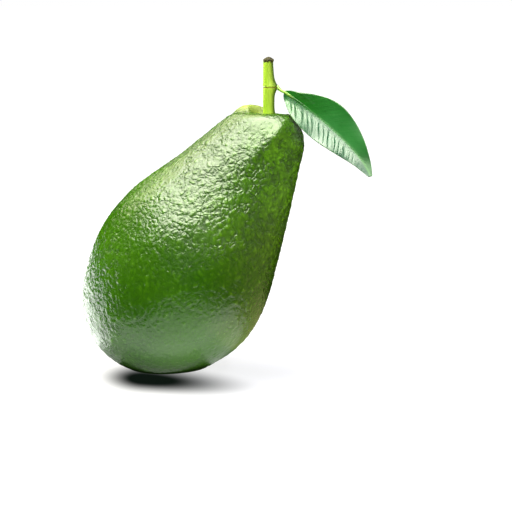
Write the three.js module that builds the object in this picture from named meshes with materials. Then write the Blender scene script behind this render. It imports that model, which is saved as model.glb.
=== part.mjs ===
// A whole avocado as picked, with its cut stem and one leaf.
// Units are millimetres, +Z is up. The fruit leans on its small flat resting spot, and the
// origin is the middle of that spot. The fruit leans towards +X, and +Y is its back.
import * as THREE from 'three';

const { degToRad, smoothstep, lerp } = THREE.MathUtils;

// The fruit's outline. Stations are measured along its own axis from the blossom end.
const LENGTH = 120;
const BELLY_RADIUS = 36;
const BELLY_AT = 43.6;
const BLOSSOM_PULL = 22;        // bluntness of the blossom end
const BELLY_PULL = 17;          // how long the belly stays full before it draws in
const NECK_RADIUS = 23.5;
const NECK_AT = 89;
const NECK_TAPER = 0.34;        // radius lost per millimetre of neck
const NECK_PULL = 16;
const SHOULDER_RADIUS = 16.4;
const SHOULDER_AT = 108.3;
const CROWN_PULL_SIDE = 4.6;
const CROWN_PULL_TOP = 11;

// How the round outline is bent into the real, lopsided fruit.
const LEAN = degToRad(32);
const BLOSSOM_END = new THREE.Vector3(-18.4, 0, 1.4);
const BELLY_SIDE = 1.2;         // the belly hangs a little to the downhill side
const BELLY_SIDE_AT = 34;
const BELLY_SIDE_SPREAD = 22;
const BLOSSOM_SIDE = 1.5;       // the blossom end turns up on the other side
const BLOSSOM_SIDE_TO = 32;
const NECK_BACK = 5;            // the neck bends back, and a little to the downhill side
const NECK_SIDE = 1.3;
const NECK_BEND_FROM = 60;
const BELLY_DEPTH = 1.02;       // the belly is deeper than wide, and the neck thinner
const NECK_DEPTH = 0.9;
const LUMP = 0.3;               // broad unevenness of the skin
const FADE = 12;                // the lumps die away this close to either end
const FRUIT_SIDES = 54;

// The flat resting spot, and the fuller skin on its downhill side.
const FLOOR_SOFT = 0.4;
const FOOT_FULL = 0.9;
const FOOT_AT = 12;
const FOOT_SPREAD_X = 6;
const FOOT_SPREAD_Y = 9;
const FOOT_SPREAD_Z = 6;

// The flattened crown and the shallow hollow that the stem stands in.
const TOP = 101.4;
const TOP_SOFT = 2.5;
const STEM_AT = new THREE.Vector2(40.5, 7.5);
const HOLLOW_DEPTH = 1.5;
const HOLLOW_SEAT = 3.8;
const HOLLOW_RIM = 8.5;
const LIP_AT = new THREE.Vector2(33, 14.5);     // the rim stands higher behind the stem
const LIP_RISE = 2.5;
const LIP_SPREAD = 8;
const LIP_FADE = 8;             // how far below the crown the raised rim begins
const FACE_AT = new THREE.Vector2(43, 93.5);    // the flat face below the crown, x and height
const FACE_TILT = 0.8;          // the face runs up to the right this steeply
const FACE_FULL = 1.4;
const FACE_SPREAD = new THREE.Vector2(11, 4);
const FACE_FRONT = 7;           // the face is on the front alone, this far out from the middle
const SCAR_RADIUS = 2.2;        // the dry dimple at the blossom end
const SCAR_DEPTH = 0.5;

// The stem: its straight side is on the left, and what swells goes to the right.
const GAP = 0.3;
const STEM_FOOT = TOP - HOLLOW_DEPTH + GAP;
const STEM_TOP = 122.8;
const STEM_LEFT = 38.2;
const STEM_RADIUS = 2.25;
const STEM_FOOT_RADIUS = 2.5;
const STEM_TIP_RADIUS = 1.95;
const NODE_AT = 111;            // the swollen node where the leaf grows
const NODE_SWELL = 0.55;
const NODE_SPREAD = 2.2;
const CUT_DOME = 1.1;           // height of the dried cut end
const STEM_SIDES = 20;

// The leaf: a short stalk, then a folded blade that arches over and down.
const STALK_START = new THREE.Vector3(STEM_LEFT + 2 * (STEM_RADIUS + NODE_SWELL) + GAP, 7.3, 111);
const LEAF_BASE = new THREE.Vector3(46.6, 4.4, 109.3);
const LEAF_ARCH = new THREE.Vector3(61.7, -0.1, 99.8);
const LEAF_BEND = new THREE.Vector3(77.2, -6.7, 86.1);
const LEAF_TIP = new THREE.Vector3(79.4, -11.6, 78.3);
// Each half of the blade: its greatest width, how late that comes, and how slowly it fills.
const UPPER_HALF = { width: 9.6, late: 0.85, slow: 1.23 };
const LOWER_HALF = { width: 9.1, late: 0.76, slow: 0.88 };
const LEAF_OPEN = new THREE.Vector3(0.09, -1, 0.11);    // the way the folded blade opens
const LEAF_TWIST = new THREE.Vector3(0, 0, -0.4);       // added to it where the blade begins
const LEAF_FOLD = degToRad(25.4);
const LEAF_FOLD_BASE = degToRad(38);            // folded closer where the blade begins
const LEAF_UNFOLDED = 0.4;      // share of the blade by which both have come to their full measure
const LEAF_CUP = 0.1;
const LEAF_THICK = 0.7;
const MIDRIB_THICK = 1.5;
const MIDRIB_HALF_WIDTH = 0.75;
const STALK_SHARE = 0.08;       // share of the leaf's length that is stalk
const VEIN_PITCH = 4.6;
const VEIN_SWEEP = 0.85;        // how far a side vein runs forward per millimetre outward
const QUILT = 0.28;
const MARGIN_WAVE = 0.55;
const MARGIN_WAVES = 2.5;
const LEAF_ROWS = 46;
const LEAF_COLUMNS = 16;

function matte(color, roughness) {
  return new THREE.MeshStandardMaterial({ color, roughness, metalness: 0 });
}

// Zero below the edge, the height above it, and a smooth bend of the given width between.
function softFloor(height, width) {
  if (height < -width) return 0;
  if (height > width) return height;
  return (height + width) ** 2 / (4 * width);
}

function bell(distance, spread) {
  return Math.exp(-((distance / spread) ** 2));
}

// Half of the fruit's outline as radius and station, closer together near the stem.
function fruitOutline() {
  const neckPull = new THREE.Vector2(-NECK_TAPER, 1).setLength(NECK_PULL);
  const step = new THREE.Vector2(-NECK_TAPER, 1).normalize();
  const neck = new THREE.Vector2(NECK_RADIUS, NECK_AT);
  const shoulder = new THREE.Vector2(SHOULDER_RADIUS, SHOULDER_AT);
  const beforeNeck = neck.clone().sub(neckPull);
  const crown = shoulder.clone().addScaledVector(step, CROWN_PULL_SIDE);

  const path = new THREE.Path();
  path.moveTo(0, 0);
  path.bezierCurveTo(BLOSSOM_PULL, 0, BELLY_RADIUS, BELLY_AT - BLOSSOM_PULL, BELLY_RADIUS, BELLY_AT);
  path.bezierCurveTo(BELLY_RADIUS, BELLY_AT + BELLY_PULL, beforeNeck.x, beforeNeck.y, neck.x, neck.y);
  path.lineTo(shoulder.x, shoulder.y);
  path.bezierCurveTo(crown.x, crown.y, CROWN_PULL_TOP, LENGTH, 0, LENGTH);

  const bodyRings = 36;
  const crownRings = 14;
  const crownFrom = 0.88;
  const points = [];
  for (let ring = 0; ring < bodyRings; ring += 1) {
    points.push(path.getPointAt(crownFrom * ring / bodyRings));
  }
  for (let ring = 0; ring <= crownRings; ring += 1) {
    points.push(path.getPointAt(lerp(crownFrom, 1, ring / crownRings)));
  }
  points[0].x = 0;
  points[points.length - 1].x = 0;
  return points;
}

// Broad, uneven swellings round the fruit, none of them at its ends.
function lumps(station, turn) {
  const fade = smoothstep(station, 0, FADE) * (1 - smoothstep(station, LENGTH - FADE, LENGTH));
  const waves = Math.sin(2 * turn + station / 19 + 0.6)
    + 0.7 * Math.sin(3 * turn - station / 13 + 2.1)
    + 0.4 * Math.sin(5 * turn + station / 8 + 4.0)
    + 0.3 * Math.sin(9 * turn - station / 5);
  return LUMP * fade * waves;
}

// Bends one point of the turned outline into the leaning fruit.
function bendFruit(point) {
  const station = point.y;
  const turn = Math.atan2(-point.z, point.x);
  const outline = Math.hypot(point.x, point.z);
  const radius = outline + (outline > 0 ? lumps(station, turn) : 0);
  const depth = lerp(BELLY_DEPTH, NECK_DEPTH, smoothstep(station, BELLY_AT, SHOULDER_AT));
  const bend = smoothstep(station, NECK_BEND_FROM, LENGTH);
  const side = radius * Math.cos(turn) + NECK_SIDE * bend
    + BELLY_SIDE * bell(station - BELLY_SIDE_AT, BELLY_SIDE_SPREAD)
    - BLOSSOM_SIDE * (1 - smoothstep(station, 0, BLOSSOM_SIDE_TO));
  const along = station + SCAR_DEPTH * bell(outline, SCAR_RADIUS) * bell(station, FADE);

  const x = BLOSSOM_END.x + along * Math.sin(LEAN) + side * Math.cos(LEAN);
  let y = radius * Math.sin(turn) * depth + NECK_BACK * bend;
  let z = BLOSSOM_END.z + along * Math.cos(LEAN) - side * Math.sin(LEAN);

  z -= FOOT_FULL * bell(x - FOOT_AT, FOOT_SPREAD_X) * bell(y, FOOT_SPREAD_Y)
    * Math.exp(-Math.max(z, 0) / FOOT_SPREAD_Z);
  z = softFloor(z, FLOOR_SOFT);
  z = TOP - softFloor(TOP - z, TOP_SOFT);
  const belowFace = z - FACE_AT.y - FACE_TILT * (x - FACE_AT.x);
  y -= FACE_FULL * bell(x - FACE_AT.x, FACE_SPREAD.x) * bell(belowFace, FACE_SPREAD.y)
    * (1 - smoothstep(y, -FACE_FRONT, 0));
  const fromStem = Math.hypot(x - STEM_AT.x, y - STEM_AT.y);
  const fromLip = Math.hypot(x - LIP_AT.x, y - LIP_AT.y);
  if (station > NECK_AT) {
    const rim = smoothstep(fromStem, HOLLOW_SEAT, HOLLOW_RIM);
    z += rim * LIP_RISE * bell(fromLip ** 2, LIP_SPREAD ** 2) * smoothstep(z, TOP - LIP_FADE, TOP);
    z -= (1 - rim) * HOLLOW_DEPTH;
  }
  point.set(x, y, z);
}

// Moves every vertex of a geometry by a rule, and works its normals out again.
function reshape(geometry, rule) {
  const position = geometry.attributes.position;
  const point = new THREE.Vector3();
  for (let index = 0; index < position.count; index += 1) {
    point.fromBufferAttribute(position, index);
    rule(point, index);
    position.setXYZ(index, point.x, point.y, point.z);
  }
  geometry.computeVertexNormals();
  return geometry;
}

function makeFruit() {
  const geometry = reshape(new THREE.LatheGeometry(fruitOutline(), FRUIT_SIDES), bendFruit);
  const fruit = new THREE.Mesh(geometry, matte(0x3f7a24, 0.38));
  fruit.name = 'fruit';
  return fruit;
}

function stemRadius(height) {
  const taper = lerp(STEM_RADIUS, STEM_TIP_RADIUS, smoothstep(height, NODE_AT, STEM_TOP - 2));
  const foot = (STEM_FOOT_RADIUS - STEM_RADIUS) * bell(height - STEM_FOOT, 2);
  const node = NODE_SWELL * bell(height - NODE_AT, NODE_SPREAD);
  const rim = 0.15 * bell(height - (STEM_TOP - 1.3), 0.5);
  return taper + foot + node + rim;
}

function makeStem() {
  const rings = 22;
  const neck = STEM_TOP - CUT_DOME;
  const outline = [new THREE.Vector2(0, STEM_FOOT)];
  for (let ring = 0; ring <= rings; ring += 1) {
    const height = lerp(STEM_FOOT, neck, ring / rings);
    outline.push(new THREE.Vector2(stemRadius(height), height));
  }
  const edge = stemRadius(neck);
  for (const share of [0.75, 0.4]) {
    outline.push(new THREE.Vector2(edge * share, neck + CUT_DOME * (1 - share ** 2)));
  }
  outline.push(new THREE.Vector2(0, STEM_TOP));

  const geometry = reshape(new THREE.LatheGeometry(outline, STEM_SIDES), (point) => {
    const height = point.y;
    const x = STEM_LEFT + stemRadius(Math.min(height, neck)) + point.x;
    point.set(x, STEM_AT.y + point.z, height);
  });
  // The height became Z in place of Y, which is a mirror, so the faces are turned round.
  geometry.index.array.reverse();
  geometry.computeVertexNormals();
  const stem = new THREE.Mesh(geometry, matte(0x8fb63c, 0.55));
  stem.name = 'stem';
  return stem;
}

// A thin closed solid: place(s, v, side) gives a point of its front, side 1, or back, side -1.
// Both faces are split into triangles the same way, so they never cross.
function sheetSolid(rows, columns, place) {
  const positions = [];
  const faces = [];
  const perSide = (rows + 1) * (columns + 1);
  const at = (row, column, side) => (side > 0 ? 0 : perSide) + row * (columns + 1) + column;
  for (const side of [1, -1]) {
    for (let row = 0; row <= rows; row += 1) {
      for (let column = 0; column <= columns; column += 1) {
        positions.push(...place(row / rows, 2 * column / columns - 1, side).toArray());
      }
    }
  }
  for (let row = 0; row < rows; row += 1) {
    for (let column = 0; column < columns; column += 1) {
      const corners = [[row, column], [row, column + 1], [row + 1, column + 1], [row + 1, column]];
      const [a, b, c, d] = corners.map(([r, k]) => at(r, k, 1));
      const [e, f, g, h] = corners.map(([r, k]) => at(r, k, -1));
      faces.push(a, c, b, a, d, c, e, f, g, e, g, h);
    }
  }
  const wall = (r1, k1, r2, k2) => {
    const [a, b, c, d] = [at(r1, k1, 1), at(r2, k2, 1), at(r2, k2, -1), at(r1, k1, -1)];
    faces.push(a, b, c, a, c, d);
  };
  for (let column = 0; column < columns; column += 1) {
    wall(0, column, 0, column + 1);
    wall(rows, column + 1, rows, column);
  }
  for (let row = 0; row < rows; row += 1) {
    wall(row, columns, row + 1, columns);
    wall(row + 1, 0, row, 0);
  }
  const geometry = new THREE.BufferGeometry();
  geometry.setAttribute('position', new THREE.Float32BufferAttribute(positions, 3));
  geometry.setIndex(faces);
  geometry.computeVertexNormals();
  return geometry;
}

// Width of one half of the blade: wide before the middle, drawn out to the tip.
function bladeHalfWidth(share, half) {
  const swell = Math.max(Math.sin(Math.PI * share ** half.late), 0) ** half.slow;
  return lerp(MIDRIB_HALF_WIDTH, half.width, swell);
}

function makeLeaf() {
  const blade = new THREE.CubicBezierCurve3(LEAF_BASE, LEAF_ARCH, LEAF_BEND, LEAF_TIP);
  const stalk = new THREE.LineCurve3(STALK_START, LEAF_BASE);
  const bladeLength = blade.getLength();

  const place = (s, v, side) => {
    const share = (s - STALK_SHARE) / (1 - STALK_SHARE);
    const onBlade = share > 0;
    const middle = onBlade ? blade.getPointAt(share) : stalk.getPointAt(s / STALK_SHARE);
    const along = onBlade ? blade.getTangentAt(share) : blade.getTangentAt(0);
    const closed = 1 - smoothstep(share, 0, LEAF_UNFOLDED);
    const open = LEAF_OPEN.clone().addScaledVector(LEAF_TWIST, closed);
    const across = new THREE.Vector3().crossVectors(open, along).normalize();
    const up = new THREE.Vector3().crossVectors(along, across);

    const half = v > 0 ? UPPER_HALF : LOWER_HALF;
    const halfWidth = onBlade ? bladeHalfWidth(share, half) : MIDRIB_HALF_WIDTH;
    const out = Math.abs(v) * halfWidth;
    const spread = smoothstep(out, MIDRIB_HALF_WIDTH, 4);
    const angle = lerp(LEAF_FOLD, LEAF_FOLD_BASE, closed);
    const fold = Math.sin(angle) * (Math.hypot(out, 1) - 1) * smoothstep(halfWidth, 1, 5);
    const vein = (share * bladeLength - VEIN_SWEEP * out) / VEIN_PITCH;
    const quilt = -QUILT * Math.cos(2 * Math.PI * vein) * spread * (1 - Math.abs(v) ** 4);
    const wave = MARGIN_WAVE * Math.sin(2 * Math.PI * MARGIN_WAVES * share + Math.sign(v)) * v ** 4
      * smoothstep(halfWidth, 2, 8);
    const cup = LEAF_CUP * halfWidth * v ** 2 * smoothstep(halfWidth, 1, 5);
    const thick = lerp(MIDRIB_THICK, LEAF_THICK, smoothstep(out, 0.4, 1.6));
    const edge = onBlade ? 1 : Math.sqrt(1 - 0.8 * v ** 2);

    return middle.addScaledVector(across, Math.sign(v) * out * Math.cos(angle * spread))
      .addScaledVector(up, fold + quilt + wave - cup + side * edge * thick / 2);
  };
  const leaf = new THREE.Mesh(sheetSolid(LEAF_ROWS, LEAF_COLUMNS, place), matte(0x4c9b4a, 0.4));
  leaf.name = 'leaf';
  return leaf;
}

const avocado = new THREE.Group();
avocado.name = 'avocado';
avocado.add(makeFruit(), makeStem(), makeLeaf());

export default avocado;
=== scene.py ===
# A whole avocado on a pale floor: pebbled waxy rind, cut green stem and one folded leaf.
# Shapes are worked out in millimetres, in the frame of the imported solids, and stored in metres.
import math

import bmesh
import bpy
import numpy as np
from mathutils import Matrix, Vector, noise


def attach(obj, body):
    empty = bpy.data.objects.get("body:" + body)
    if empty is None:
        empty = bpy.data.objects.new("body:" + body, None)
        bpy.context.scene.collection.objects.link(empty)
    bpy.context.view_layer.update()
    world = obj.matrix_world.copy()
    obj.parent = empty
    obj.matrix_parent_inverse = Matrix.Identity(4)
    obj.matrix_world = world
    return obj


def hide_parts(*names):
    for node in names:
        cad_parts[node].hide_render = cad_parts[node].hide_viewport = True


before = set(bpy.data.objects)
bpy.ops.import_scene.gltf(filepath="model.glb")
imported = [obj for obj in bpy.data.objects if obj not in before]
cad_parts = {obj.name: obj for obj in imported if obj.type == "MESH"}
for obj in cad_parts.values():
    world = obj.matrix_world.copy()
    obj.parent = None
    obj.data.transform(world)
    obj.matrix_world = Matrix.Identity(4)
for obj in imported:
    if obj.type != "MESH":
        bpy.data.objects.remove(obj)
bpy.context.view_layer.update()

MM = 0.001                         # metres in a millimetre


# ---------------------------------------------------------------- formulas
def smoothstep(value, low, high):
    """A smooth step from 0 at the low value to 1 at the high one."""
    part = np.clip((value - low) / (high - low), 0.0, 1.0)
    return part * part * (3 - 2 * part)


def bell(distance, spread):
    """A hump of height 1 that fades out over the spread."""
    return np.exp(-((distance / spread) ** 2))


def lerp(a, b, part):
    return a + (b - a) * part


def soft_floor(height, width):
    """Zero below the edge, the height above it, and a smooth bend between."""
    bend = (height + width) ** 2 / (4 * width)
    return np.where(height < -width, 0.0, np.where(height > width, height, bend))


def bezier(corners, steps):
    """Points of a Bezier curve with three or four corners."""
    part = np.linspace(0, 1, steps)[:, None]
    points = [np.array(corner, float) + 0 * part for corner in corners]
    while len(points) > 1:
        points = [lerp(a, b, part) for a, b in zip(points, points[1:])]
    return points[0]


def unit(vector):
    return vector / np.linalg.norm(vector, axis=-1, keepdims=True)


def way_along(points):
    """How far along a line each of its points lies."""
    return np.r_[0, np.cumsum(np.linalg.norm(np.diff(points, axis=0), axis=1))]


# ---------------------------------------------------------------- the fruit's shape
# A station is a height on the fruit's own axis, which leans, above its blossom end.
LENGTH = 120.0
BLOSSOM_PULL = 22.0                # how blunt the blossom end is
BELLY_RADIUS, BELLY_AT, BELLY_PULL = 36.0, 43.6, 17.0
NECK_RADIUS, NECK_AT, NECK_TAPER, NECK_PULL = 23.5, 89.0, 0.34, 16.0
SHOULDER_RADIUS, SHOULDER_AT = 16.4, 108.3
CROWN_PULL_SIDE, CROWN_PULL_TOP = 4.6, 11.0
OUTLINE_STEPS = 80                 # points on each stretch of the outline

LEAN = math.radians(32)
BLOSSOM_END = (-18.4, 0.0, 1.4)
BELLY_SIDE, BELLY_SIDE_AT, BELLY_SIDE_SPREAD = 1.2, 34.0, 22.0      # fuller to the right
BLOSSOM_SIDE, BLOSSOM_SIDE_TO = 1.5, 32.0                           # drawn to the left
NECK_BACK, NECK_SIDE, NECK_BEND_FROM = 5.0, 1.3, 60.0               # bent back and to the right
BELLY_DEPTH, NECK_DEPTH = 1.02, 0.9                                 # front to back, as a share of the width

LUMP, FADE = 0.3, 12.0             # the broad lumps, which fade out at both ends
LUMP_WAVES = ((1.0, 2, 19.0, 0.6), (0.7, 3, -13.0, 2.1), (0.4, 5, 8.0, 4.0), (0.3, 9, -5.0, 0.0))

FLOOR_SOFT = 0.4
FOOT_FULL, FOOT_AT = 0.9, 12.0     # the foot bulges down here, beside the middle
FOOT_SPREAD_X, FOOT_SPREAD_Y, FOOT_SPREAD_Z = 6.0, 9.0, 6.0
TOP, TOP_SOFT = 101.4, 2.5         # the crown is flat at this height
STEM_AT = (40.5, 7.5)
HOLLOW_DEPTH, HOLLOW_SEAT, HOLLOW_RIM = 1.5, 3.8, 8.5
LIP_AT, LIP_RISE, LIP_SPREAD, LIP_FADE = (33.0, 14.5), 2.5, 8.0, 8.0
FACE_AT, FACE_FULL, FACE_SPREAD, FACE_FRONT = (43.0, 93.5), 1.4, (11.0, 4.0), 7.0
FACE_TILT = 0.8
SCAR_RADIUS, SCAR_DEPTH = 2.2, 0.5


def fruit_outline():
    """Share of the outline's length, radius and station of many points from end to end."""
    step = unit(np.array([-NECK_TAPER, 1.0]))
    neck = np.array([NECK_RADIUS, NECK_AT])
    shoulder = np.array([SHOULDER_RADIUS, SHOULDER_AT])
    belly = (BELLY_RADIUS, BELLY_AT)
    stretches = [
        [(0, 0), (BLOSSOM_PULL, 0), (BELLY_RADIUS, BELLY_AT - BLOSSOM_PULL), belly],
        [belly, (BELLY_RADIUS, BELLY_AT + BELLY_PULL), neck - step * NECK_PULL, neck],
        [neck, shoulder],
        [shoulder, shoulder + step * CROWN_PULL_SIDE, (CROWN_PULL_TOP, LENGTH), (0, LENGTH)],
    ]
    curves = [bezier(stretch, OUTLINE_STEPS) for stretch in stretches]
    points = np.vstack([curves[0]] + [curve[1:] for curve in curves[1:]])
    lengths = way_along(points)
    return lengths / lengths[-1], points[:, 0], points[:, 1]


def lumps(station, turn):
    """Waves round the fruit: how high, how many, how long along it and where they begin."""
    fade = smoothstep(station, 0, FADE) * (1 - smoothstep(station, LENGTH - FADE, LENGTH))
    waves = sum(
        height * np.sin(count * turn + station / pitch + start)
        for height, count, pitch, start in LUMP_WAVES
    )
    return LUMP * fade * waves


def distance_from(place, x, y):
    return np.hypot(x - place[0], y - place[1])


def lip_hump(x, y):
    """The crown's raised rim, 1 at its middle."""
    return bell(distance_from(LIP_AT, x, y) ** 2, LIP_SPREAD**2)


def fruit_points(share, turn):
    """The leaning fruit's surface, in millimetres, and the station of each point."""
    shares, radii, stations = fruit_outline()
    station = np.interp(share, shares, stations)
    outline = np.interp(share, shares, radii)
    radius = outline + lumps(station, turn)
    depth = lerp(BELLY_DEPTH, NECK_DEPTH, smoothstep(station, BELLY_AT, SHOULDER_AT))
    bend = smoothstep(station, NECK_BEND_FROM, LENGTH)
    side = (
        radius * np.cos(turn)
        + NECK_SIDE * bend
        + BELLY_SIDE * bell(station - BELLY_SIDE_AT, BELLY_SIDE_SPREAD)
        - BLOSSOM_SIDE * (1 - smoothstep(station, 0, BLOSSOM_SIDE_TO))
    )
    along = station + SCAR_DEPTH * bell(outline, SCAR_RADIUS) * bell(station, FADE)
    x = BLOSSOM_END[0] + along * math.sin(LEAN) + side * math.cos(LEAN)
    y = radius * np.sin(turn) * depth + NECK_BACK * bend
    z = BLOSSOM_END[2] + along * math.cos(LEAN) - side * math.sin(LEAN)

    low = np.exp(-np.maximum(z, 0) / FOOT_SPREAD_Z)
    foot = bell(x - FOOT_AT, FOOT_SPREAD_X) * bell(y, FOOT_SPREAD_Y) * low
    z = soft_floor(z - FOOT_FULL * foot, FLOOR_SOFT)
    z = TOP - soft_floor(TOP - z, TOP_SOFT)
    face_z = FACE_AT[1] + FACE_TILT * (x - FACE_AT[0])
    face = bell(x - FACE_AT[0], FACE_SPREAD[0]) * bell(z - face_z, FACE_SPREAD[1])
    y = y - FACE_FULL * face * (1 - smoothstep(y, -FACE_FRONT, 0))
    lip = LIP_RISE * lip_hump(x, y) * smoothstep(z, TOP - LIP_FADE, TOP)
    rim = smoothstep(distance_from(STEM_AT, x, y), HOLLOW_SEAT, HOLLOW_RIM)
    z = z + np.where(station > NECK_AT, rim * lip - (1 - rim) * HOLLOW_DEPTH, 0.0)
    return np.stack([x, y, z], axis=1), station


# ---------------------------------------------------------------- meshes
def read_points(mesh):
    flat = np.empty(len(mesh.vertices) * 3, np.float32)
    mesh.vertices.foreach_get("co", flat)
    return flat.reshape(-1, 3).astype(float)


def write_points(mesh, points):
    mesh.vertices.foreach_set("co", np.ascontiguousarray(points, np.float32).ravel())
    mesh.update()


def read_normals(mesh):
    flat = np.empty(len(mesh.vertices) * 3, np.float32)
    mesh.vertex_normals.foreach_get("vector", flat)
    return flat.reshape(-1, 3).astype(float)


def keep_values(mesh, **named):
    """Stores one number per vertex under each name, for the piece's finish to read."""
    for name, values in named.items():
        attribute = mesh.attributes.new(name, "FLOAT", "POINT")
        attribute.data.foreach_set("value", np.ascontiguousarray(values, np.float32))


def new_object(name, builder, material):
    """Turns a bmesh into an object of the scene."""
    mesh = bpy.data.meshes.new(name)
    builder.to_mesh(mesh)
    builder.free()
    mesh.materials.append(material)
    thing = bpy.data.objects.new(name, mesh)
    bpy.context.scene.collection.objects.link(thing)
    return thing


def finished(name, builder, material, node):
    """Turns a bmesh into a smooth piece that stands for a node of the frame."""
    bmesh.ops.recalc_face_normals(builder, faces=builder.faces)
    piece = new_object(name, builder, material)
    piece.data.shade_smooth()
    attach(piece, "root")
    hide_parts(node)
    return piece


# ---------------------------------------------------------------- shader expressions
class Value:
    """A socket of a finish, so that its maths is written as plain expressions."""

    def __init__(self, finish, socket):
        self.finish = finish
        self.socket = socket

    def maths(self, operation, *others):
        return self.finish.node("ShaderNodeMath", {"operation": operation}, (self, *others))

    def __add__(self, other):
        return self.maths("ADD", other)

    def __mul__(self, other):
        return self.maths("MULTIPLY", other)

    def __sub__(self, other):
        return self.maths("SUBTRACT", other)

    def __rsub__(self, other):
        return self.finish.node("ShaderNodeMath", {"operation": "SUBTRACT"}, (other, self))

    def __truediv__(self, other):
        return self.maths("DIVIDE", other)

    def __pow__(self, other):
        return self.maths("POWER", other)

    def __abs__(self):
        return self.maths("ABSOLUTE")

    __radd__ = __add__
    __rmul__ = __mul__

    def vector_maths(self, operation, *others):
        return self.finish.node("ShaderNodeVectorMath", {"operation": operation}, (self, *others))

    def between(self, low, high, start=0.0, end=1.0):
        """The value's way from low to high, as a smooth step from start to end."""
        settings = {"interpolation_type": "SMOOTHSTEP"}
        return self.finish.node("ShaderNodeMapRange", settings, (self, low, high, start, end))


class Finish:
    """One procedural material. Its lengths are in metres, and a scale is a count in a metre."""

    def __init__(self, name):
        self.material = bpy.data.materials.new(name)
        self.material.use_nodes = True
        self.tree = self.material.node_tree
        self.tree.nodes.clear()

    def node(self, kind, settings=None, inputs=(), output=0):
        """Makes one node: settings first, then its inputs, by order or by name."""
        node = self.tree.nodes.new(kind)
        for key, value in (settings or {}).items():
            setattr(node, key, value)
        named = inputs.items() if isinstance(inputs, dict) else enumerate(inputs)
        for key, value in named:
            if isinstance(value, Value):
                self.tree.links.new(value.socket, node.inputs[key])
            elif value is not None:
                socket = node.inputs[key]
                colour = socket.type == "RGBA" and len(value) == 3
                socket.default_value = (*value, 1) if colour else value
        return Value(self, node.outputs[output]) if node.outputs else None

    def place(self):
        return self.node("ShaderNodeTexCoord", output="Object")

    def part_of(self, axis):
        """One of the object coordinates: 0 is x, 1 is y and 2 is z."""
        return self.node("ShaderNodeSeparateXYZ", {}, (self.place(),), axis)

    def attribute(self, name):
        return self.node("ShaderNodeAttribute", {"attribute_name": name}, output="Fac")

    def noise(self, scale, detail=2.0, roughness=0.5, at=None):
        inputs = {"Vector": at or self.place(), "Scale": scale, "Detail": detail, "Roughness": roughness}
        return self.node("ShaderNodeTexNoise", {}, inputs)

    def warped(self, scale, amount):
        """Object coordinates, pushed about by a noise."""
        inputs = {"Vector": self.place(), "Scale": scale}
        colour = self.node("ShaderNodeTexNoise", {}, inputs, "Color")
        push = colour.vector_maths("SUBTRACT", (0.5, 0.5, 0.5))
        return self.place().vector_maths("ADD", push.vector_maths("SCALE", None, None, amount))

    def cells(self, scale, at=None, feature="F1"):
        inputs = {"Vector": at or self.place(), "Scale": scale}
        return self.node("ShaderNodeTexVoronoi", {"feature": feature}, inputs)

    def mix(self, part, a, b):
        """Colour a gives way to colour b as the part goes from 0 to 1."""
        return self.node("ShaderNodeMix", {"data_type": "RGBA"}, {0: part, 6: a, 7: b}, output=2)

    def mottled(self, patches, colours):
        """Two colours, the second in the patches of a noise."""
        return self.mix(patches.between(0.3, 0.7), *colours)

    def bump(self, height, strength, depth, normal=None):
        inputs = {"Strength": strength, "Distance": depth, "Height": height, "Normal": normal}
        return self.node("ShaderNodeBump", {}, inputs)

    def surface(self, **inputs):
        """Ends the finish with one shader, whose inputs are named in small letters."""
        named = {
            key.replace("_", " ").title().replace("Ior", "IOR"): value for key, value in inputs.items()
        }
        shader = self.node("ShaderNodeBsdfPrincipled", {}, named)
        self.node("ShaderNodeOutputMaterial", {}, (shader,))
        return self.material


# ---------------------------------------------------------------- rind
SKIN_CUTS = 127                    # across each side of the cube that swells into the fruit
PEBBLE_SIZE, PEBBLE_HEIGHT = 2.0, 0.38
PEBBLE_ZERO = 0.75                 # the relief that lies on the fruit's own surface
BENDS = ((4.2, 1.3, (0, 0, 0)), (1.9, 0.4, (7, 3, 1)))              # size, reach and start
BEND_SEED = 1                      # without a seed, the vector noise follows the clock
DOME_SLOPE, DOME_SHARE = 1.6, 0.62
RIPPLE_SIZE, RIPPLE_RISE, RIPPLE_START = 1.5, 0.7, (0, 9, 4)

PATCH_AT, PATCH_SPREAD = 38.0, 9.0                                  # smooth skin below the crown's rim
PATCH_RISE, PATCH_BACK = (92.0, 97.0), 4.0
LIP_BAND = (TOP - 7, TOP - 1)      # the heights in which the lip turns smooth and yellow
CALM_RING, CALM_LEFT = (3.5, 9.0), 0.25                             # the low relief round the stem
CROWN_RING = (3.0, 6.0)            # the yellow skin round the stem
FLOOR_BAND = (0.0, 1.0)            # the relief fades out over these heights
UNDERSIDE_HEIGHTS, UNDERSIDE_SIDE = (12, 34), (-10, 4)
PATCH_LEVEL, LIP_LEVEL = 0.8, 0.7                                   # how much of the relief they lose
PATCH_SMOOTH, UNDERSIDE_SMOOTH, LIP_SMOOTH = 0.7, 0.65, 0.7         # and of the finish's fine relief

# Painted light: the left side of the belly and neck is made a little lighter.
PAINTED_LIT_TURN, PAINTED_LIT_FROM, PAINTED_LIT_TO = (-0.2, 1.0), (25, 50), (60, 85)
SHADE_TURN, SHADE_FROM = (-0.2, 0.6), (55, 90)
# Painted shade on the right flank, between the belly and the neck.
FLANK_SHADE_TURN, FLANK_SHADE_FROM, FLANK_SHADE_TO = (0.0, 0.7), (30, 50), (75, 95)

DEEP_GREENS = (0.024, 0.100, 0.001), (0.038, 0.135, 0.001)
RIPE_GREENS = (0.060, 0.190, 0.001), (0.088, 0.240, 0.002)
SHADE_GREEN = (0.018, 0.055, 0.001)
FLANK_SHADE_GREEN = (0.030, 0.045, 0.002)
FOOT_SHADE_GREEN = (0.016, 0.045, 0.004)
GROOVE_SHADE_GREEN = (0.006, 0.035, 0.001)
PEBBLE_HIGHLIGHT_GREEN = (0.14, 0.34, 0.01)
CROWN_YELLOW = (0.30, 0.40, 0.025)
DOT_YELLOW = (0.16, 0.28, 0.05)
CREASE_SHADE_GREEN = (0.006, 0.03, 0.001)

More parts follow.
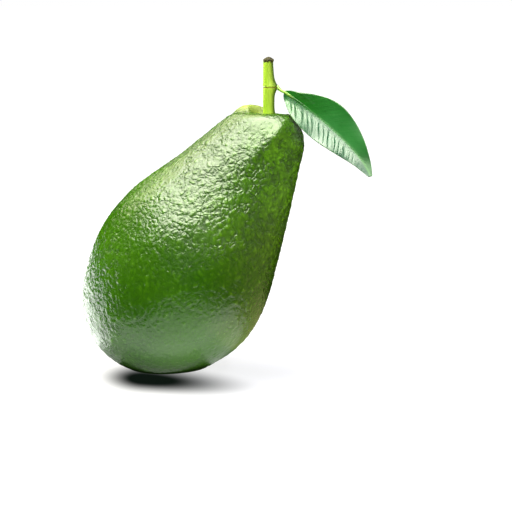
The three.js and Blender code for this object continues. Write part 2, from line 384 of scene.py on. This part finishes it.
BLOTCH_SCALE, PORE_SCALE = 38.0, 1400.0
DOT_SCALE, DOT_GROUP_SCALE = 420.0, 140.0
CREASE_SCALE, CREASE_BEND_SCALE, CREASE_BEND, CREASE_GROUP_SCALE = 430.0, 260.0, 0.003, 210.0
RIPPLE_SCALE, RIPPLE_BEND_SCALE, RIPPLE_BEND = 760.0, 420.0, 0.0012
PORE_DEPTH, RIPPLE_DEPTH, CREASE_DEPTH = 0.00015, 0.0006, 0.00025
FOOT_SHADE, FOOT_DULL, LEFT_PART = (0.002, 0.055), (0.006, 0.024), (-0.022, -0.006)


def pebble_height(points):
    """Relief of the rind from 0 in its grooves to 1 on its pebbles, at points in millimetres."""
    noise.seed_set(BEND_SEED)
    heights = np.empty(len(points))
    for index, point in enumerate(points):
        at = Vector(point)
        bends = [noise.noise_vector(at / size + Vector(start)) * reach for size, reach, start in BENDS]
        near = noise.voronoi((at + (bends[0] + bends[1])) / PEBBLE_SIZE)[0]
        dome = min((near[1] - near[0]) * DOME_SLOPE, 1.0)
        ripple = 0.5 + RIPPLE_RISE * noise.noise(at / RIPPLE_SIZE + Vector(RIPPLE_START))
        heights[index] = DOME_SHARE * dome + (1 - DOME_SHARE) * ripple
    return heights


def make_rind(material):
    """A cube that swells into the fruit, with its pebbles, and values for its finish."""
    builder = bmesh.new()
    bmesh.ops.create_cube(builder, size=2.0)
    bmesh.ops.subdivide_edges(builder, edges=builder.edges, cuts=SKIN_CUTS, use_grid_fill=True)
    piece = finished("rind", builder, material, "fruit")
    mesh = piece.data
    ball = unit(np.tan(read_points(mesh) * math.pi / 4))
    share = np.arccos(np.clip(-ball[:, 2], -1, 1)) / math.pi
    turn = np.arctan2(ball[:, 1], ball[:, 0])
    points, station = fruit_points(share, turn)
    write_points(mesh, points * MM)

    x, y, z = points.T
    pebbles = pebble_height(points)
    from_stem = np.linalg.norm(points - np.array([*STEM_AT, TOP]), axis=1)
    patch = bell(x - PATCH_AT, PATCH_SPREAD) * smoothstep(z, *PATCH_RISE)
    patch = patch * (1 - smoothstep(y, 0, PATCH_BACK))
    lip = lip_hump(x, y) * smoothstep(z, *LIP_BAND)
    level = lerp(CALM_LEFT, 1.0, smoothstep(from_stem, *CALM_RING)) * smoothstep(z, *FLOOR_BAND)
    level = level * (1 - PATCH_LEVEL * patch) * (1 - LIP_LEVEL * lip)
    lift = PEBBLE_HEIGHT * (pebbles - PEBBLE_ZERO) * level
    write_points(mesh, (points + read_normals(mesh) * lift[:, None]) * MM)

    underside = (1 - smoothstep(z, *UNDERSIDE_HEIGHTS)) * smoothstep(x, *UNDERSIDE_SIDE)
    smooth = np.max([PATCH_SMOOTH * patch, UNDERSIDE_SMOOTH * underside, LIP_SMOOTH * lip], axis=0)
    to_right = np.cos(turn)
    sunny = smoothstep(-to_right, *PAINTED_LIT_TURN) * smoothstep(station, *PAINTED_LIT_FROM)
    flank = smoothstep(to_right, *FLANK_SHADE_TURN) * smoothstep(station, *FLANK_SHADE_FROM)
    keep_values(
        mesh,
        pebble=pebbles,
        smooth=smooth,
        crown=np.maximum(1 - smoothstep(from_stem, *CROWN_RING), lip),
        station=station / LENGTH,
        sunny=sunny * (1 - smoothstep(station, *PAINTED_LIT_TO)),
        shade=smoothstep(-to_right, *SHADE_TURN) * smoothstep(station, *SHADE_FROM),
        flank=flank * (1 - smoothstep(station, *FLANK_SHADE_TO)),
    )


def rind_finish():
    """Greens that ripen up the neck and pale dots, with painted light and shade by side, height and relief.
    """
    finish = Finish("rind")
    pebble = finish.attribute("pebble")
    crown = finish.attribute("crown")
    station = finish.attribute("station")
    uneven = 1.0 - finish.attribute("smooth")
    x, z = finish.part_of(0), finish.part_of(2)
    blotches = finish.noise(BLOTCH_SCALE, 3.0, 0.55)

    # Painted light: the left side is mixed a little towards the ripe greens.
    ripe = finish.attribute("sunny") * 0.1 + station.between(0.42, 0.64)
    ripe = ripe * station.between(0.9, 1.0, 1.0, 0.4)
    green = finish.mix(ripe, finish.mottled(blotches, DEEP_GREENS), finish.mottled(blotches, RIPE_GREENS))
    green = finish.mix(finish.attribute("shade") * 0.68, green, SHADE_GREEN)
    # Painted shade darkens the right flank.
    green = finish.mix(finish.attribute("flank") * 0.55, green, FLANK_SHADE_GREEN)
    # Painted shade: darker towards the bottom.
    green = finish.mix(z.between(*FOOT_SHADE, 0.5, 0.0), green, FOOT_SHADE_GREEN)
    # Both relief marks below are weaker low on the fruit and gone where the rind is smooth.
    clear = uneven * station.between(0.25, 0.6, 0.55, 1.0)
    # Painted shade darkens the grooves between the pebbles.
    green = finish.mix(pebble.between(0.2, 0.7, 0.5, 0.0) * clear, green, GROOVE_SHADE_GREEN)
    # Painted highlight lightens the pebble tops.
    green = finish.mix(pebble.between(0.6, 0.95, 0.0, 0.22) * clear, green, PEBBLE_HIGHLIGHT_GREEN)
    green = finish.mix(crown * 0.9, green, CROWN_YELLOW)
    dots = finish.cells(DOT_SCALE).between(0.06, 0.16, 1.0, 0.0)
    dots = dots * finish.noise(DOT_GROUP_SCALE, 1.0).between(0.46, 0.6)
    green = finish.mix(dots * 0.35, green, DOT_YELLOW)

    left = x.between(*LEFT_PART, 0.7, 0.0)
    creased = station.between(0.42, 0.68, 0.3, 1.0).maths("MAXIMUM", left) * (1.0 - crown) * uneven
    bent = finish.warped(CREASE_BEND_SCALE, CREASE_BEND)
    crease = finish.cells(CREASE_SCALE, bent, "DISTANCE_TO_EDGE").between(0.0, 0.28, 1.0, 0.0)
    crease = crease * finish.noise(CREASE_GROUP_SCALE, 1.0).between(0.42, 0.56) * creased
    # Painted shade darkens the creases.
    green = finish.mix(crease * 0.6, green, CREASE_SHADE_GREEN)

    pores = finish.bump(finish.noise(PORE_SCALE, 3.0, 0.6) * uneven, 0.25, PORE_DEPTH)
    ripple = finish.noise(RIPPLE_SCALE, 2.0, 0.6, finish.warped(RIPPLE_BEND_SCALE, RIPPLE_BEND)) * uneven
    relief = finish.bump(ripple, 0.5, RIPPLE_DEPTH, pores)
    relief = finish.bump(1.0 - crease, 0.8, CREASE_DEPTH, relief)
    rough = blotches.between(0.3, 0.7, 0.17, 0.22) + crease * 0.15 + station.between(0.45, 0.75, 0.0, 0.07)
    rough = rough + z.between(*FOOT_DULL, 0.2, 0.0) + crown * 0.3
    return finish.surface(base_color=green, roughness=rough, normal=relief, ior=1.45)


# ---------------------------------------------------------------- stem
STEM_SUNK = 0.4                    # into the floor of the hollow
STEM_FOOT, STEM_TOP = TOP - HOLLOW_DEPTH - STEM_SUNK, 122.8
STEM_LEFT = 38.2                   # its left side stands straight here
STEM_RADIUS, STEM_FOOT_RADIUS, STEM_TIP_RADIUS = 2.25, 2.5, 1.95
STEM_FOOT_SPREAD = 2.0
STEM_TAPER_TO = STEM_TOP - 2
NODE_AT, NODE_SWELL, NODE_SPREAD = 111.0, 0.55, 2.2
NODE_GROOVE, NODE_GROOVE_SPREAD = 0.14, 0.22
NODE_LEDGE, NODE_LEDGE_ABOVE, NODE_LEDGE_SPREAD = 0.1, 0.7, 0.45
STEM_RIDGES = ((0.05, 7, 6.0), (0.035, 13, -9.0))                   # height, count and pitch
RIDGES_FULL = 1.5                  # they fade out nearer the stem's axis than this
CUT_DOME = 1.1
CUT_AT = STEM_TOP - CUT_DOME
CUT_RIM, CUT_RIM_AT, CUT_RIM_SPREAD = 0.15, STEM_TOP - 1.3, 0.5
CUT_STEPS = (0.97, 0.88, 0.75, 0.6, 0.4, 0.2)                       # shares of the radius
WRINKLE_SIZE, WRINKLE_HEIGHT, WRINKLE_BAND = 0.55, 0.16, 0.6
RAGGED_SIZE, RAGGED_HEIGHT = 0.9, 0.8
BARK_FROM, BARK_TO = STEM_TOP - 2.4, STEM_TOP - 1.8
STEM_RINGS, STEM_SIDES = 150, 72
MERGE_DISTANCE = 1e-5

STEM_GREENS = (0.30, 0.51, 0.026), (0.44, 0.65, 0.055)
STEM_SHADE = (0.03, 0.08, 0.004)
RING_BROWN = (0.16, 0.10, 0.015)
BARK_BROWNS = (0.010, 0.009, 0.002), (0.055, 0.050, 0.010)
STREAK_SCALE, STREAK_STRETCH, STREAK_DEPTH = 260.0, (1.0, 1.0, 0.12), 0.0003
BARK_SCALE = 1500.0


def stem_radius(height):
    taper = lerp(STEM_RADIUS, STEM_TIP_RADIUS, smoothstep(height, NODE_AT, STEM_TAPER_TO))
    foot = (STEM_FOOT_RADIUS - STEM_RADIUS) * bell(height - STEM_FOOT, STEM_FOOT_SPREAD)
    node = NODE_SWELL * bell(height - NODE_AT, NODE_SPREAD)
    rim = CUT_RIM * bell(height - CUT_RIM_AT, CUT_RIM_SPREAD)
    return taper + foot + node + rim


def noise_at(points, size):
    return np.array([noise.noise(Vector(point) / size) for point in points])


def make_stem(material):
    """A profile spun round, then set upright beside its straight left side, with fine ridges."""
    heights = np.linspace(STEM_FOOT, CUT_AT, STEM_RINGS)
    profile = [(0.0, STEM_FOOT)] + [(stem_radius(height), height) for height in heights]
    edge = stem_radius(CUT_AT)
    profile += [(edge * part, CUT_AT + CUT_DOME * (1 - part**2)) for part in CUT_STEPS]
    profile.append((0.0, STEM_TOP))
    builder = bmesh.new()
    corners = [builder.verts.new((radius, 0, height)) for radius, height in profile]
    edges = [builder.edges.new(pair) for pair in zip(corners, corners[1:])]
    bmesh.ops.spin(
        builder, geom=corners + edges, cent=(0, 0, 0), axis=(0, 0, 1), angle=2 * math.pi,
        steps=STEM_SIDES, use_merge=True,
    )
    bmesh.ops.remove_doubles(builder, verts=builder.verts, dist=MERGE_DISTANCE)
    piece = finished("stem_stalk", builder, material, "stem")
    mesh = piece.data

    points = read_points(mesh)
    turn = np.arctan2(points[:, 1], points[:, 0])
    radius = np.hypot(points[:, 0], points[:, 1])
    height = points[:, 2].copy()
    ridges = sum(rise * np.sin(count * turn + height / pitch) for rise, count, pitch in STEM_RIDGES)
    groove = NODE_GROOVE * bell(height - NODE_AT, NODE_GROOVE_SPREAD)
    ledge = NODE_LEDGE * bell(height - NODE_AT - NODE_LEDGE_ABOVE, NODE_LEDGE_SPREAD)
    radius = radius + (ridges + ledge - groove) * smoothstep(radius, 0, RIDGES_FULL)
    cut = smoothstep(height, CUT_AT - WRINKLE_BAND, CUT_AT)
    wrinkles = WRINKLE_HEIGHT * noise_at(points, WRINKLE_SIZE)
    points[:, 0] = STEM_LEFT + stem_radius(np.minimum(height, CUT_AT)) + radius * np.cos(turn)
    points[:, 1] = STEM_AT[1] + radius * np.sin(turn)
    points[:, 2] = height + cut * wrinkles
    write_points(mesh, points * MM)
    ragged = RAGGED_HEIGHT * noise_at(points, RAGGED_SIZE)
    keep_values(
        mesh,
        height=height - STEM_FOOT,
        side=np.cos(turn),
        cut=smoothstep(height + ragged, BARK_FROM, BARK_TO),
    )


def stem_finish():
    """Streaked yellow-green, with painted shade on its right side, a brown ring and a dried cut end."""
    finish = Finish("stem")
    height = finish.attribute("height")
    cut = finish.attribute("cut")
    stretched = finish.node("ShaderNodeMapping", {}, {"Vector": finish.place(), "Scale": STREAK_STRETCH})
    streaks = finish.noise(STREAK_SCALE, 3.0, 0.6, stretched)
    green = finish.mottled(streaks, STEM_GREENS)
    # Painted shade darkens the stem's right side.
    green = finish.mix(finish.attribute("side").between(0.1, 0.9, 0.0, 0.9), green, STEM_SHADE)
    ring = abs(height - (NODE_AT - STEM_FOOT)).between(0.12, 0.34, 1.0, 0.0)
    green = finish.mix(ring * 0.7, green, RING_BROWN)
    bark = finish.mix(finish.noise(BARK_SCALE, 3.0).between(0.35, 0.65), *BARK_BROWNS)
    colour = finish.mix(cut, green, bark)
    grain = finish.bump(streaks, 0.15, STREAK_DEPTH)
    rough = cut.between(0.0, 1.0, 0.42, 0.8)
    return finish.surface(
        base_color=colour, roughness=rough, normal=grain, ior=1.45, specular_ior_level=0.2
    )


# ---------------------------------------------------------------- leaf
# The share is 0 at the blade's base and 1 at its tip, and v is -1 at its near edge and 1 at its far one.
LEAF_BASE, LEAF_ARCH = (46.6, 4.4, 109.3), (61.7, -0.1, 99.8)
LEAF_BEND, LEAF_TIP = (77.2, -6.7, 86.1), (79.4, -11.6, 78.3)
LEAF_STEPS = 400
UPPER_HALF, LOWER_HALF = (9.6, 0.85, 1.23), (9.1, 0.76, 0.88)      # width, lateness and slowness
LEAF_OPEN, LEAF_TWIST = (0.09, -1.0, 0.11), (0.0, 0.0, -0.4)
LEAF_FOLD, LEAF_FOLD_BASE, LEAF_UNFOLDED = math.radians(25.4), math.radians(38), 0.4
LEAF_CUP = 0.1
FOLD_SPREAD = 4.0                  # the fold and the quilt are full this far out from the midrib
BLADE_THICK = 0.45
BLADE_CUTS = (220, 90)
MIDRIB_HALF_WIDTH = 0.75
FULL_WIDTH = (1, 5)                # the blade takes on its fold and cup over these half widths
VEIN_PITCH, VEIN_SWEEP, VEIN_OFFSET = 2.9, 0.85, 0.25
VEIN_STRAY, VEIN_SHAKE = 0.16, 0.06
VEIN_WIDTH, SMALL_VEIN_WIDTH, SMALL_VEIN = 0.17, 0.1, 0.3
UPPER_QUILT, LOWER_QUILT = 0.05, 0.34
QUILT_AT_BASE, QUILT_LOSS = 1.5, 1.2                                # shares of the quilt's depth
MARGIN_WAVE, MARGIN_WAVES, MARGIN_FULL = 0.55, 2.5, (2, 8)

STALK_START = (STEM_LEFT + 2 * (STEM_RADIUS + NODE_SWELL) - 0.3, 7.3, 111.2)
STALK_SHARE = 0.1                  # of the length of stalk and midrib
STALK_SAG = 0.35
MIDRIB_END = 0.985
MIDRIB_THICK, MIDRIB_THIN, MIDRIB_TAPER_FROM = 0.58, 0.2, 0.05
STALK_FLARE, STALK_FLARE_SPREAD = 0.35, 0.03
MIDRIB_SUNK, MIDRIB_SUNK_TO = 0.32, 0.4
MIDRIB_RINGS, MIDRIB_SIDES = 160, 20

LEAF_GREENS = (0.015, 0.155, 0.018), (0.026, 0.195, 0.032)
BASE_GREEN, TIP_GREEN, UNDER_GREEN = (0.010, 0.15, 0.003), (0.006, 0.07, 0.010), (0.003, 0.040, 0.036)
STRIPE_SHADE_GREEN = (0.003, 0.070, 0.030)
VEIN_GREEN = (0.16, 0.42, 0.12)
FOLD_GREEN = (0.10, 0.33, 0.07)
RIM_GREEN = (0.25, 0.45, 0.2)
STALK_GREENS, MIDRIB_GREEN = ((0.22, 0.46, 0.03), (0.34, 0.58, 0.07)), (0.015, 0.13, 0.012)
LEAF_PATCH_SCALE, LEAF_STREAK_SCALE, NET_SCALE, NET_DEPTH = 90.0, 420.0, 700.0, 0.0001
STALK_STREAK_SCALE, STALK_STREAK_DEPTH = 300.0, 0.0002


def blade_half_width(share, side):
    """Width of each half of the blade, from its greatest width, how late that comes and how slowly."""
    width, late, slow = (np.where(side > 0, a, b) for a, b in zip(UPPER_HALF, LOWER_HALF))
    swell = np.maximum(np.sin(math.pi * share**late), 0) ** slow
    return lerp(MIDRIB_HALF_WIDTH, width, swell)


def leaf_frames(share):
    """Middle, across and up of the blade at shares of its length, and that length."""
    curve = bezier((LEAF_BASE, LEAF_ARCH, LEAF_BEND, LEAF_TIP), LEAF_STEPS)
    lengths = way_along(curve)
    tangents = unit(np.gradient(curve, axis=0))
    at = share * lengths[-1]
    middle = np.stack([np.interp(at, lengths, curve[:, axis]) for axis in range(3)], axis=1)
    along = unit(np.stack([np.interp(at, lengths, tangents[:, axis]) for axis in range(3)], axis=1))
    twist = (1 - smoothstep(share, 0, LEAF_UNFOLDED))[:, None]
    across = unit(np.cross(np.array(LEAF_OPEN) + twist * np.array(LEAF_TWIST), along))
    return middle, across, np.cross(along, across), lengths[-1]


def vein_phase(share, out, side, length):
    """Which side vein a place lies at: a whole number between two of them, and they wander."""
    vein = (share * length - VEIN_SWEEP * out) / VEIN_PITCH + VEIN_OFFSET * side
    return vein + VEIN_STRAY * np.sin(2.3 * vein + 2 * side) + VEIN_SHAKE * np.sin(0.9 * out + 3 * vein)


def blade_points(share, v):
    """The blade's middle surface, the vein phase and the signed way out from the midrib."""
    middle, across, up, length = leaf_frames(share)
    side = np.sign(v)
    half_width = blade_half_width(share, side)
    out = np.abs(v) * half_width
    full = smoothstep(half_width, *FULL_WIDTH)
    spread = smoothstep(out, MIDRIB_HALF_WIDTH, FOLD_SPREAD)
    angle = lerp(LEAF_FOLD_BASE, LEAF_FOLD, smoothstep(share, 0, LEAF_UNFOLDED))
    fold = np.sin(angle) * (np.hypot(out, 1) - 1) * full
    vein = vein_phase(share, out, side, length)
    groove = bell(vein % 1 - 0.5, VEIN_WIDTH) + SMALL_VEIN * bell((vein + 0.5) % 1 - 0.5, SMALL_VEIN_WIDTH)
    depth = np.where(side > 0, UPPER_QUILT, LOWER_QUILT) * (QUILT_AT_BASE - QUILT_LOSS * share)
    quilt = -depth * groove * spread * (1 - np.abs(v) ** 4)
    wave = MARGIN_WAVE * np.sin(2 * math.pi * MARGIN_WAVES * share + side) * v**4
    wave = wave * smoothstep(half_width, *MARGIN_FULL)
    cup = LEAF_CUP * half_width * v**2 * full
    sideways = side * out * np.cos(angle * spread)
    height = fold + quilt + wave - cup
    return middle + across * sideways[:, None] + up * height[:, None], vein, side * out


def make_blade(material):
    """A grid laid on the folded blade, as thick as the leaf."""
    along, over = BLADE_CUTS
    builder = bmesh.new()
    bmesh.ops.create_grid(builder, x_segments=along, y_segments=over, size=1.0)
    piece = finished("leaf_blade", builder, material, "leaf")
    mesh = piece.data
    grid = read_points(mesh)
    share, v = (grid[:, 0] + 1) / 2, grid[:, 1]
    points, vein, out = blade_points(share, v)
    write_points(mesh, points * MM)
    keep_values(mesh, vein=vein, out=out, rim=np.abs(v), share=share)
    thick = piece.modifiers.new("thick", "SOLIDIFY")
    thick.thickness = BLADE_THICK * MM
    thick.offset = 0.0


def make_midrib(material):
    """The leaf's stalk, which runs on as the midrib and thins out to the tip."""
    builder = bmesh.new()
    bmesh.ops.create_cone(
        builder, cap_ends=True, cap_tris=False, segments=MIDRIB_SIDES, radius1=1, radius2=1, depth=2
    )
    upright = [edge for edge in builder.edges if abs(edge.verts[0].co.z - edge.verts[1].co.z) > 1]
    bmesh.ops.subdivide_edges(builder, edges=upright, cuts=MIDRIB_RINGS)
    piece = finished("leaf_midrib", builder, material, "leaf")
    mesh = piece.data
    tube = read_points(mesh)
    way = (tube[:, 2] + 1) / 2
    share = np.clip((way - STALK_SHARE) / (1 - STALK_SHARE), 0, MIDRIB_END)
    middle, across, up, _ = leaf_frames(share)
    rise = np.clip(way / STALK_SHARE, 0, 1)[:, None]
    sag = np.array([0, 0, -STALK_SAG]) * np.sin(math.pi * rise)
    stalk = lerp(np.array(STALK_START), np.array(LEAF_BASE), rise) + sag
    middle = np.where(way[:, None] < STALK_SHARE, stalk, middle)
    thick = lerp(MIDRIB_THICK, MIDRIB_THIN, smoothstep(way, MIDRIB_TAPER_FROM, 1.0))
    thick = thick + STALK_FLARE * bell(way, STALK_FLARE_SPREAD)
    sunk = MIDRIB_SUNK * smoothstep(way, STALK_SHARE, MIDRIB_SUNK_TO)
    points = middle + across * (tube[:, 0] * thick)[:, None] + up * (tube[:, 1] * thick - sunk)[:, None]
    write_points(mesh, points * MM)
    keep_values(mesh, stalk=1 - smoothstep(way, STALK_SHARE, 2 * STALK_SHARE))


def leaf_finish():
    """Glossy green above, bluish on the near half, pale veins, a pale rim, and painted shade between veins.
    """
    finish = Finish("leaf")
    out = finish.attribute("out")
    rim = finish.attribute("rim")
    share = finish.attribute("share")
    from_vein = abs(finish.attribute("vein").maths("FRACT") - 0.5)
    near_half = out.between(-1.0, -0.2, 1.0, 0.0)
    green = finish.mottled(finish.noise(LEAF_PATCH_SCALE), LEAF_GREENS)
    green = finish.mix(share.between(0.15, 0.5, 0.7, 0.0), green, BASE_GREEN)
    green = finish.mix(share.between(0.65, 1.0, 0.0, 0.85), green, TIP_GREEN)
    green = finish.mix(near_half * share.between(0.05, 0.45, 0.2, 0.6), green, UNDER_GREEN)
    # Painted shade in dark stripes between the near half's veins.
    streaks = finish.noise(LEAF_STREAK_SCALE).between(0.35, 0.6) * from_vein.between(0.1, 0.4, 1.0, 0.2)
    streaks = streaks * near_half * rim.between(0.7, 1.0, 1.0, 0.3) * share.between(0.2, 0.8, 1.0, 0.4)
    green = finish.mix(streaks * 0.5, green, STRIPE_SHADE_GREEN)
    side_vein = from_vein.between(0.44, 0.49) * abs(out).between(0.3, 2.0) * (1 - rim**3)
    green = finish.mix(side_vein * 0.12, green, VEIN_GREEN)
    green = finish.mix(abs(out).between(0.2, 0.5, 1.0, 0.0) * 0.2, green, FOLD_GREEN)
    green = finish.mix(rim.between(0.965, 0.995) * 0.6, green, RIM_GREEN)
    net = finish.cells(NET_SCALE, feature="DISTANCE_TO_EDGE").between(0.0, 0.15)
    relief = finish.bump(net, 0.15, NET_DEPTH)
    rough = streaks * 0.12 + share.between(0.8, 0.95, 0.3, 0.55)
    return finish.surface(base_color=green, roughness=rough, normal=relief, ior=1.53)


def midrib_finish():
    """Yellow-green on the stalk, and the leaf's own green along the blade."""
    finish = Finish("leaf_midrib")
    streaks = finish.noise(STALK_STREAK_SCALE)
    green = finish.mix(finish.attribute("stalk"), MIDRIB_GREEN, finish.mottled(streaks, STALK_GREENS))
    grain = finish.bump(streaks, 0.2, STALK_STREAK_DEPTH)
    return finish.surface(base_color=green, roughness=0.42, normal=grain, ior=1.45)


# ---------------------------------------------------------------- stage
# From here on, places and sizes are in metres.
FLOOR_RADIUS, WALL_HEIGHT, STAGE_SIDES = 5.0, 4.0, 96
FLOOR_GREY = (0.22, 0.22, 0.25)
SHADOW_BLACK = (0.005, 0.009, 0.006)
SHADOW_CORE = 0.22                 # the share of a dark shadow's reach that has its full depth
# Each shadow's middle, how far it reaches to the left, to the right and across, and its skew.
BEFORE = ((-0.0085, -0.0195), 0.023, 0.053, 0.027, 0.3)
BEHIND = ((0.0, 0.026), 0.02, 0.02, 0.024)
BESIDE = ((0.03, -0.010), 0.05, 0.07, 0.045)
BESIDE_LIT = 0.76                  # how light the faint shadow is at its middle


def on_stage(name, builder, material):
    """Sets a shape up that the camera sees, but that sends no light to the fruit."""
    thing = new_object(name, builder, material)
    thing.visible_glossy = False
    thing.visible_diffuse = False
    return thing


def make_wall():
    """A white wall far away, all round the floor."""
    material = Finish("wall").surface(
        base_color=(0, 0, 0), roughness=0.9, specular_ior_level=0.0,
        emission_color=(1, 1, 1), emission_strength=1.0,
    )
    builder = bmesh.new()
    bmesh.ops.create_cone(
        builder, cap_ends=False, segments=STAGE_SIDES, radius1=FLOOR_RADIUS, radius2=FLOOR_RADIUS,
        depth=WALL_HEIGHT, matrix=Matrix.Translation((0, 0, WALL_HEIGHT / 2)),
    )
    bmesh.ops.reverse_faces(builder, faces=builder.faces)
    wall = on_stage("wall", builder, material)
    wall.visible_shadow = False


def way_out(finish, middle, left, right, deep, skew=0.0):
    """How far out the floor's points lie in a lopsided oval: 0 at its middle, 1 at its edge."""
    across, along = finish.part_of(0) - middle[0], finish.part_of(1) - middle[1]
    sideways = (across / -left).maths("MAXIMUM", across / right)
    forward = (along + across * skew) / deep
    return (sideways * sideways + forward * forward).maths("SQRT")


def make_floor():
    """White, with a dark shadow before the fruit, one behind it, and a faint one to its right."""
    finish = Finish("floor")
    before = way_out(finish, *BEFORE).between(SHADOW_CORE, 0.95)
    behind = way_out(finish, *BEHIND).between(SHADOW_CORE, 1.0)
    beside = way_out(finish, *BESIDE).between(0.0, 1.0, BESIDE_LIT, 1.0)
    lit = before * behind * beside
    material = finish.surface(
        base_color=finish.mix(lit, (0, 0, 0), FLOOR_GREY), roughness=0.9, specular_ior_level=0.0,
        emission_color=finish.mix(lit, SHADOW_BLACK, (1, 1, 1)), emission_strength=1.0,
    )
    builder = bmesh.new()
    bmesh.ops.create_circle(builder, cap_ends=True, segments=STAGE_SIDES, radius=FLOOR_RADIUS)
    on_stage("floor", builder, material)


# ---------------------------------------------------------------- lights
FRUIT_MIDDLE = (0.015, 0, 0.055)
CARD_HEIGHT = 0.0015
PANEL_HEIGHT = 0.65
WORLD_STRENGTH = 0.3
WHITE, WARM = (1, 1, 1), (1, 0.94, 0.84)
LEMON, YELLOW, CREAM, AMBER = (1.0, 1.0, 0.5), (1, 0.95, 0.5), (1.0, 0.95, 0.6), (1.0, 0.8, 0.45)


def aim(thing, place, target):
    thing.location = place
    thing.rotation_euler = (Vector(target) - Vector(place)).to_track_quat("-Z", "Y").to_euler()


def panel(name, place, target, size, brightness, colour=WHITE):
    """A soft rectangular light of one even brightness, where 1 is a white sheet in the picture."""
    light = bpy.data.lights.new(name, "AREA")
    light.shape = "RECTANGLE"
    light.size, light.size_y = size
    light.energy = brightness * math.pi * size[0] * size[1]
    light.color = colour
    lamp = bpy.data.objects.new(name, light)
    bpy.context.scene.collection.objects.link(lamp)
    lamp.visible_camera = False
    aim(lamp, place, target)
    return lamp


def sheen(*settings):
    """A panel that shows in the gloss alone."""
    lamp = panel(*settings)
    lamp.visible_diffuse = False


def fill(*settings):
    """A panel that lights the colours and doesn't show in the gloss."""
    lamp = panel(*settings)
    lamp.visible_glossy = False


def overhead(x, y, height=PANEL_HEIGHT):
    """A place over a point of the floor, and that point."""
    return (x, y, height), (x, y, 0.0)


def bounce_card(name, across, along, brightness, colour=WHITE):
    """A card just above the floor, from one x to another and one y to another, that shines up."""
    x, y = sum(across) / 2, sum(along) / 2
    size = (across[1] - across[0], along[1] - along[0])
    panel(name + "_card", (x, y, CARD_HEIGHT), (x, y, 1), size, brightness, colour)


def make_lights():
    sheen("overhead_sheen", *overhead(-0.09, -0.09), (0.82, 0.76), 15.5, WARM)
    sheen("crown_sheen", *overhead(0.08, -0.14, 0.66), (0.5, 0.5), 7.5, WARM)
    sheen("rear_sheen", *overhead(-0.4, 0.6), (1.0, 0.6), 4.5, LEMON)
    sheen("right_sheen", (0.8, 0.5, 0.35), FRUIT_MIDDLE, (0.6, 0.5), 0.7)
    sheen("side_sheen", (0.22, -0.02, 0.07), (0.0, -0.02, 0.07), (0.25, 0.12), 0.45, YELLOW)
    sheen("back_sheen", (-0.3, 0.45, 0.5), FRUIT_MIDDLE, (0.6, 0.3), 1.0)
    fill("overhead_softbox", *overhead(0.05, 0.0), (0.8, 0.6), 8)
    fill("left_fill", (-0.6, 0.1, 0.5), FRUIT_MIDDLE, (0.5, 0.5), 12, CREAM)
    fill("front_fill", (0.1, -0.6, 0.45), FRUIT_MIDDLE, (0.5, 0.4), 7)
    fill("right_fill", (0.55, -0.2, 0.12), FRUIT_MIDDLE, (0.3, 0.3), 3.2, AMBER)
    bounce_card("near_front", (-0.06, 0.08), (-0.055, -0.027), 2.2)
    bounce_card("foot", (-0.02, 0.018), (-0.027, -0.016), 0.5)
    bounce_card("far_front", (-0.03, 0.06), (-0.1, -0.055), 1.6)
    bounce_card("left", (-0.43, -0.035), (-0.02, 0.4), 5.2)
    bounce_card("foot_left", (-0.035, -0.02), (-0.027, 0.02), 1.0)
    bounce_card("foot_right", (0.018, 0.055), (-0.027, -0.004), 1.2)
    bounce_card("right", (0.03, 0.2), (-0.04, 0.05), 0.6, (1.0, 1.0, 0.4))


def make_world():
    """A faint even light from all sides, which doesn't show in the gloss."""
    world = bpy.data.worlds.new("studio")
    bpy.context.scene.world = world
    world.use_nodes = True
    background = world.node_tree.nodes["Background"]
    background.inputs["Color"].default_value = (*WHITE, 1)
    background.inputs["Strength"].default_value = WORLD_STRENGTH
    world.cycles_visibility.glossy = False


# ---------------------------------------------------------------- camera
CAMERA_ELEVATION = math.radians(11)
CAMERA_DISTANCE = 0.6
CAMERA_TARGET = (0.0354, 0.0, 0.0449)
VIEW_WIDTH = 512 / 2525            # 512 pixels, at 2525 pixels to a metre
SENSOR_WIDTH = 36                  # in millimetres, as the lens is


def make_camera():
    """Looks at the fruit from the front, a little from above."""
    data = bpy.data.cameras.new("camera")
    data.sensor_width = SENSOR_WIDTH
    data.lens = SENSOR_WIDTH * CAMERA_DISTANCE / VIEW_WIDTH
    camera = bpy.data.objects.new("camera", data)
    bpy.context.scene.collection.objects.link(camera)
    target = Vector(CAMERA_TARGET)
    direction = Vector((0, -math.cos(CAMERA_ELEVATION), math.sin(CAMERA_ELEVATION)))
    aim(camera, target + direction * CAMERA_DISTANCE, target)
    bpy.context.scene.camera = camera


make_camera()
make_rind(rind_finish())
make_stem(stem_finish())
make_blade(leaf_finish())
make_midrib(midrib_finish())
make_floor()
make_wall()
make_lights()
make_world()
bpy.context.scene.view_settings.view_transform = "Standard"
